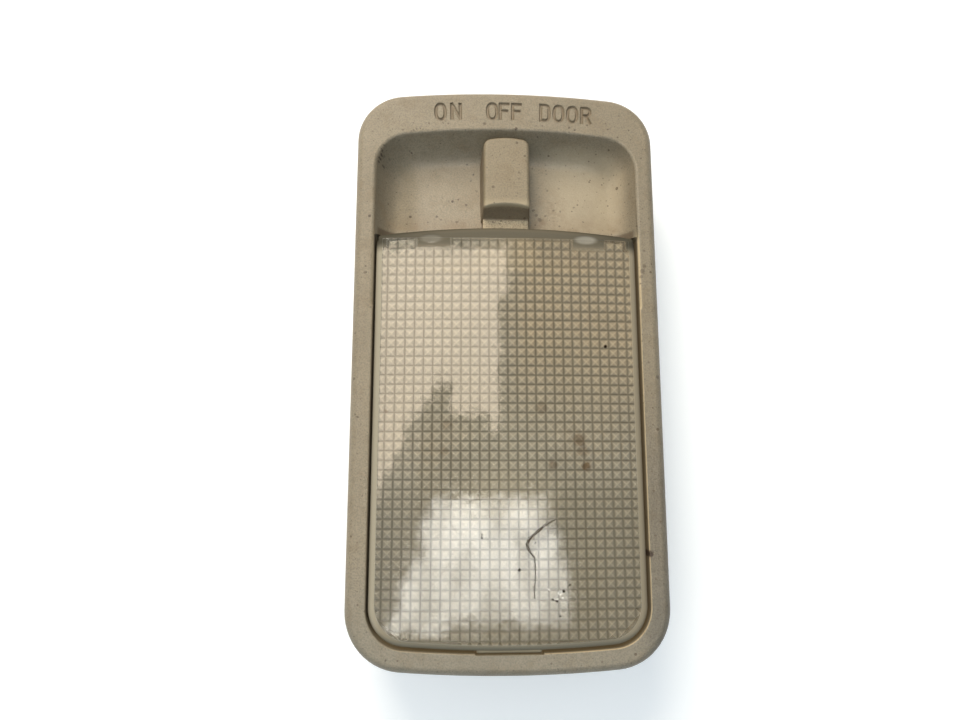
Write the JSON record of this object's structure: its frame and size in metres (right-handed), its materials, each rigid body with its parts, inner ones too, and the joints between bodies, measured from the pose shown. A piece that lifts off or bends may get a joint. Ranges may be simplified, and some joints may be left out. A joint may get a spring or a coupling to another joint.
{
  "type": "car dome light",
  "caption": "Rounded rectangular roof lamp: moulded housing with a dished switch bay, a prismatic lens that tilts open, a slide switch and a festoon bulb inside.",
  "frame": {"origin": "centre of the flat back of the lamp, under the middle of the rim; the lamp lies on its back with the lens up", "axes": "+X across the lamp to the DOOR side, +Y along it towards the switch end, +Z out of the lens"},
  "size_m": [0.074, 0.14, 0.0262],
  "materials": {
    "housing_plastic": "fine spark-eroded grain, satin, aged beige-grey",
    "knob_plastic": "fine grain polished by fingers along its edges",
    "lens_plastic": "clear, slightly yellowed, square prisms inside and a smooth crowned face",
    "leaf_bronze": "rolled spring bronze, dull",
    "strip_brass": "stamped brass, lightly tarnished",
    "bright_steel": "zinc-plated steel",
    "spring_steel": "drawn wire",
    "board_phenolic": "brown phenolic paper laminate",
    "cover_plastic": "dark brown moulding",
    "reflector_sheet": "folded bright sheet",
    "bulb_glass": "clear blown tube",
    "cap_metal": "nickel-plated cap",
    "filament_wire": "coiled tungsten"
  },
  "bodies": {
    "base": {"housing": "housing_plastic", "switch_board": "board_phenolic", "switch_cover": "cover_plastic", "cover_screws": "bright_steel", "supply_strip": "strip_brass", "lamp_strip": "strip_brass", "ground_strip": "strip_brass", "door_strip": "strip_brass", "board_rivets": "strip_brass", "bulb_clip_left": "leaf_bronze", "bulb_clip_right": "leaf_bronze", "clip_rivets": "strip_brass", "reflector": "reflector_sheet", "bulb_glass": "bulb_glass", "bulb_cap_left": "cap_metal", "bulb_cap_right": "cap_metal", "bulb_filament": "filament_wire"},
    "slider": {"switch_knob": "knob_plastic", "contact_leaf": "leaf_bronze", "detent_ball": "bright_steel", "detent_spring": "spring_steel"},
    "lens": {"lens": "lens_plastic"}
  },
  "joints": [
    {"name": "switch_slide", "type": "slide", "parent": "base", "child": "slider", "axis": [1, 0, 0], "range_m": [-0.0145, 0.0145]},
    {"name": "lens_tilt", "type": "hinge", "parent": "base", "child": "lens", "pos_m": [0, 0.031, 0.0179], "axis": [-1, 0, 0], "range_deg": [0, 15]}
  ]
}
